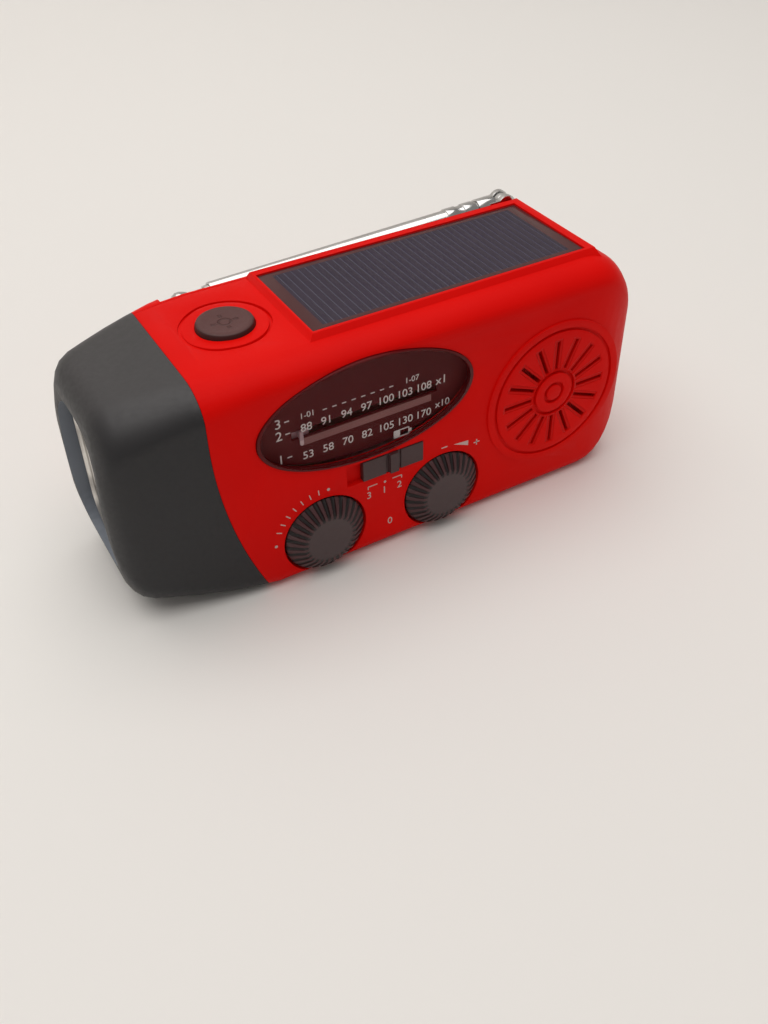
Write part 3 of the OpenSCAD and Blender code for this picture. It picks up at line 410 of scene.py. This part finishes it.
def dress(name, material):
    """Gives a CAD node its material, smooth shading and softened edges."""
    o = NODES[name]
    o.data.materials.clear()
    o.data.materials.append(material)
    for polygon in o.data.polygons:
        polygon.use_smooth = True
    weld = o.modifiers.new("weld", "WELD")
    weld.merge_threshold = WELD_GAP * MM
    if name in EDGES:
        bevel = o.modifiers.new("bevel", "BEVEL")
        bevel.width = EDGES[name] * MM
        bevel.segments = 3
        bevel.limit_method = "ANGLE"
        bevel.angle_limit = BEVEL_ANGLE
        bevel.harden_normals = True
    split = o.modifiers.new("split", "EDGE_SPLIT")
    split.split_angle = SPLIT_ANGLE


for node_name, node_material in FINISH.items():
    dress(node_name, node_material)


# ---------------------------------------------------------------- thin pieces

def thin_piece(name, mesh, material, thickness, offset=0):
    """Object with a thickness in millimetres; offset 0 thickens the mesh to both sides alike."""
    mesh.materials.append(material)
    o = bpy.data.objects.new(name, mesh)
    bpy.context.scene.collection.objects.link(o)
    solid = o.modifiers.new("thickness", "SOLIDIFY")
    solid.thickness = thickness * MM
    solid.offset = offset
    return o


def skin(name, rings, smooth=False):
    """Mesh over closed rings, each a list of points (x, y, z) in millimetres."""
    mesh = bpy.data.meshes.new(name)
    verts = [tuple(c * MM for c in point) for ring in rings for point in ring]
    n = len(rings[0])
    faces = []
    for start in range(0, len(verts) - n, n):
        for i in range(n):
            after = (i + 1) % n
            faces.append((start + i, start + after, start + n + after, start + n + i))
    mesh.from_pydata(verts, [], faces)
    for polygon in mesh.polygons:
        polygon.use_smooth = smooth
    return mesh


def mouth_outline(shrink):
    """Points (y, z) round the lamp mouth, moved inwards from its wall by shrink millimetres."""
    low, high = size_mm("lamp_hood")
    hood_to_mouth, corner_radius, steps = 10.4, 7.4, 8      # millimetres, and steps in a corner
    inset, radius = hood_to_mouth + shrink, corner_radius - shrink
    half, z_low, z_high = (high.y - low.y) / 2 - inset, low.z + inset, high.z - inset
    points = []
    for corner, (y, z) in enumerate([(half, z_high), (-half, z_high), (-half, z_low), (half, z_low)]):
        side, rise = math.copysign(radius, y), (radius if corner < 2 else -radius)
        for i in range(steps + 1):
            a = math.radians(90 * corner + 90 * i / steps)
            points.append((y - side + radius * math.cos(a), z - rise + radius * math.sin(a)))
    return points


def make_bezel():
    """Bright rim in front of the lens: it lines the wall of the mouth and turns inwards over the lens."""
    mouth = size_mm("lamp_hood")[0].x
    section = [(3.3, 0.0), (3.95, 0.0), (4.18, 0.25), (4.2, 1.4), (4.2, 2.6)]      # depth, way in
    rings = [[(mouth + depth, y, z) for y, z in mouth_outline(shrink)] for depth, shrink in section]
    o = thin_piece("lamp_bezel", skin("lamp_bezel", rings, smooth=True), BEZEL, thickness=0.12)
    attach(o, "housing")


def make_dust_screen():
    """Thin moulded screen between the speaker slots and the loudspeaker, a ring with a slightly waved
    section."""
    low, high = size_mm("speaker_basket")
    x, z, gap, steps = (low.x + high.x) / 2, (low.z + high.z) / 2, 0.06, 64
    section = [(5.6, 0.0), (6.2, 0.03), (10.8, 0.0), (15.2, 0.02), (15.9, -0.01)]      # radius, sag
    angles = [math.radians(360 * i / steps) for i in range(steps)]
    rings = [[(x + radius * math.cos(a), low.y - gap + sag, z + radius * math.sin(a)) for a in angles]
             for radius, sag in section]
    o = thin_piece("dust_screen", skin("dust_screen", rings), SCREEN, thickness=0.04, offset=-1)
    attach(o, "housing")


# ---------------------------------------------------------------- printed marks

class Print:
    """Flat marks in X and Z on a face that looks along -Y, gathered into one piece, in millimetres."""

    DIGIT_SHARE = 0.7      # height of a digit as a share of the font's size

    def __init__(self, y):
        self.y = y
        self.mesh = bmesh.new()

    def outline(self, points):
        self.mesh.faces.new([self.mesh.verts.new((x * MM, self.y * MM, z * MM)) for x, z in points])

    def line(self, points, width):
        for (x0, z0), (x1, z1) in zip(points, points[1:]):
            long = math.hypot(x1 - x0, z1 - z0)
            nx, nz = -(z1 - z0) / long * width / 2, (x1 - x0) / long * width / 2
            self.outline([(x0 + nx, z0 + nz), (x0 - nx, z0 - nz), (x1 - nx, z1 - nz), (x1 + nx, z1 + nz)])

    def dot(self, x, z, radius):
        angles = [math.radians(a) for a in range(0, 360, 20)]
        self.outline([(x + radius * math.cos(a), z + radius * math.sin(a)) for a in angles])

    def block(self, x0, z0, x1, z1):
        self.outline([(x0, z0), (x1, z0), (x1, z1), (x0, z1)])

    def words(self, text, x, z, height):
        """Puts text with the middle of its baseline at x, z."""
        curve = bpy.data.curves.new("words", "FONT")
        curve.body = text
        curve.size = height / self.DIGIT_SHARE * MM
        curve.align_x = "CENTER"
        holder = bpy.data.objects.new("words", curve)
        flat = bpy.data.meshes.new_from_object(holder)
        place = Matrix.Translation((x * MM, self.y * MM, z * MM))
        flat.transform(place @ Matrix.Rotation(math.pi / 2, 4, "X"))
        self.mesh.from_mesh(flat)
        bpy.data.objects.remove(holder)

    def row(self, texts, x0, x1, z, height):
        """Spreads numbers from x0 to x1."""
        for i, text in enumerate(texts):
            self.words(text, x0 + (x1 - x0) * i / (len(texts) - 1), z, height)

    def piece(self, name, material, body="housing", thickness=0.05):
        """Thickens the marks about their face and makes them one piece, attached to a body."""
        mesh = bpy.data.meshes.new(name)
        self.mesh.to_mesh(mesh)
        self.mesh.free()
        o = thin_piece(name, mesh, material, thickness)
        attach(o, body)


def print_dial():
    """Scale behind the dial glass: two number rows, band digits and a small cell, about its middle."""
    low, high = size_mm("dial_window")
    x, z = (low.x + high.x) / 2, (low.z + high.z) / 2
    behind_glass, reach, digits, channel_digits, stroke = 0.06, 14.4, 1.95, 1.4, 0.26
    ink = Print(high.y + behind_glass)
    ink.row("88 91 94 97 100 103 108".split(), x - reach, x + reach, z - 0.8, digits)
    ink.row("53 58 70 82 105 130 170".split(), x - reach, x + reach, z - 8.0, digits)
    ink.words("1-01", x - 14.0, z + 2.5, channel_digits)
    ink.words("1-07", x + 11.4, z + 2.5, channel_digits)
    for i in range(8):
        dash = x - 10.4 + 2.3 * i
        ink.line([(dash, z + 3.0), (dash + 1.0, z + 3.0)], 0.22)
    for text, rise in (("3", 2.0), ("2", -1.1), ("1", -7.2)):
        ink.words(text, x - 20.8, z + rise, 2.3)
        ink.line([(x - 19.3, z + rise + 1.1), (x - 18.2, z + rise + 1.1)], stroke)
    ink.words("x1", x + 19.0, z - 0.6, 2.1)
    ink.words("x10", x + 19.4, z - 6.8, 1.8)
    print_cell(ink, x + 8.7, z - 10.2, stroke)
    ink.piece("dial_numbers", DIAL_INK)


def print_cell(ink, x, z, stroke):
    """Small drawing of a battery cell, part full."""
    wide, tall = 1.9, 0.9
    ink.line([(x - wide, z - tall), (x + wide, z - tall), (x + wide, z + tall), (x - wide, z + tall),
              (x - wide, z - tall - 0.12)], stroke)
    ink.block(x + 2.0, z - 0.45, x + 2.6, z + 0.45)
    ink.block(x - 1.8, z - 0.8, x - 0.4, z + 0.8)


def print_track():
    """Pale bar under the pointer's slot."""
    low, high = size_mm("dial_window")
    x, z, before_plate = (low.x + high.x) / 2, (low.z + high.z) / 2, 0.04
    bar = Print(size_mm("dial_plate")[0].y - before_plate)
    bar.block(x - 14.8, z - 5.4, x + 17.2, z - 3.6)
    bar.piece("dial_bar", DIAL_BAR)


def print_needle():
    """Bright stroke with cut corners on the pointer."""
    low, high = size_mm("dial_pointer")
    x, foot, top = (low.x + high.x) / 2, low.z + 0.1, (low.z + high.z) / 2 + 1.1
    outer, inner, cut, sunk = 0.42, 0.21, 0.3, 0.16
    needle = Print(low.y + sunk)
    needle.outline([(x - outer, foot + cut), (x - inner, foot), (x + inner, foot), (x + outer, foot + cut),
                    (x + outer, top - cut), (x + inner, top), (x - inner, top), (x - outer, top - cut)])
    needle.piece("pointer_needle", NEEDLE, body="dial_pointer", thickness=0.3)


def print_tuning(ink, x, z, radius):
    """Arc of ticks between two dots round the tuning knob."""
    def at(distance, degrees):
        a = math.radians(degrees)
        return x + (radius + distance) * math.cos(a), z + (radius + distance) * math.sin(a)

    tick_from, tick_to, stroke = 1.9, 3.3, 0.24
    for degrees in range(95, 165, 10):
        ink.line([at(tick_from, degrees), at(tick_to, degrees)], stroke)
    for degrees in (84, 172):
        ink.dot(*at((tick_from + tick_to) / 2, degrees), 0.38)


def print_volume(ink, x, top):
    """Minus, wedge and plus over the volume knob, and a nought below its left side."""
    stroke = 0.28
    ink.line([(x - 0.4, top + 0.3), (x + 1.2, top + 0.3)], stroke)
    ink.outline([(x + 3.0, top + 0.1), (x + 7.0, top - 1.6), (x + 7.0, top - 0.2)])
    ink.line([(x + 8.6, top - 1.6), (x + 10.2, top - 1.6)], stroke)
    ink.line([(x + 9.4, top - 2.4), (x + 9.4, top - 0.8)], stroke)
    ink.words("0", x - 14.4, 6.6, 1.9)


def print_bands(ink, x, z):
    """Digits and leader lines under the band slider."""
    stroke = 0.24
    for text, step in (("3", -6.4), ("1", -2.4), ("2", 1.6)):
        ink.words(text, x + step, z - 5.6, 1.9)
    ink.line([(x - 6.6, z - 3.0), (x - 6.6, z - 2.2), (x - 4.2, z - 2.2)], stroke)
    ink.line([(x - 0.2, z - 2.2), (x + 2.2, z - 2.2), (x + 2.2, z - 3.0)], stroke)
    ink.dot(x - 2.2, z - 2.4, 0.32)


def print_face():
    """White marks beside the controls, just before the face from which the speaker disc stands out."""
    speaker_rise, before_face = 0.45, 0.03
    ink = Print(size_mm("front_shell")[0].y + speaker_rise - before_face)
    low, high = size_mm("tuning_knob")
    z, radius = (low.z + high.z) / 2, (high.x - low.x) / 2
    print_tuning(ink, (low.x + high.x) / 2, z, radius)
    low, high = size_mm("volume_knob")
    print_volume(ink, (low.x + high.x) / 2, z + radius + 1.9)
    low, high = size_mm("band_slider")
    print_bands(ink, (low.x + high.x) / 2, low.z)
    ink.piece("control_marks", INK)


print_dial()
print_track()
print_needle()
make_bezel()
make_dust_screen()
print_face()


# ---------------------------------------------------------------- stage and light

def floor_paint():
    """Matt and pale, with hardly any drift."""
    colour = (0.82, 0.795, 0.765)
    deep = tuple(c * 0.985 for c in colour)
    g = Graph("pale_floor")
    return g.set(Base_Color=g.mix(g.noise(3, 2), deep, colour), Roughness=0.9, Specular_IOR_Level=0.1)


def make_stage():
    """A pale floor that sweeps up into a backdrop."""
    depth, bend, height, half = 0.42, 0.25, 1.1, 3.0
    profile = [(-half, 0.0), (depth, 0.0)]
    for degrees in range(5, 95, 5):
        a = math.radians(degrees)
        profile.append((depth + bend * math.sin(a), bend * (1 - math.cos(a))))
    profile.append((depth + bend, height))
    mesh = bpy.data.meshes.new("floor")
    verts = [(x, y, z) for y, z in profile for x in (-half, half)]
    faces = [(2 * i, 2 * i + 1, 2 * i + 3, 2 * i + 2) for i in range(len(profile) - 1)]
    mesh.from_pydata(verts, [], faces)
    for polygon in mesh.polygons:
        polygon.use_smooth = True
    mesh.materials.append(floor_paint())
    floor = bpy.data.objects.new("floor", mesh)
    bpy.context.scene.collection.objects.link(floor)


def make_light():
    """One large warm light nearly overhead, and a weak even one all round."""
    place, target = Vector((-0.12, 0.06, 1.0)), Vector((0, 0, 0.03))
    data = bpy.data.lights.new("key", "AREA")
    data.size = 1.3
    data.energy = 10.2
    data.color = (1.0, 0.985, 0.965)
    light = bpy.data.objects.new("key", data)
    light.location = place
    light.rotation_euler = (target - place).to_track_quat("-Z", "Y").to_euler()
    bpy.context.scene.collection.objects.link(light)
    world = bpy.data.worlds.new("world")
    world.use_nodes = True
    background = world.node_tree.nodes["Background"]
    background.inputs["Color"].default_value = (1.0, 0.975, 0.95, 1)
    background.inputs["Strength"].default_value = 0.30
    bpy.context.scene.world = world
    bpy.context.scene.view_settings.view_transform = "Standard"


make_stage()
make_light()
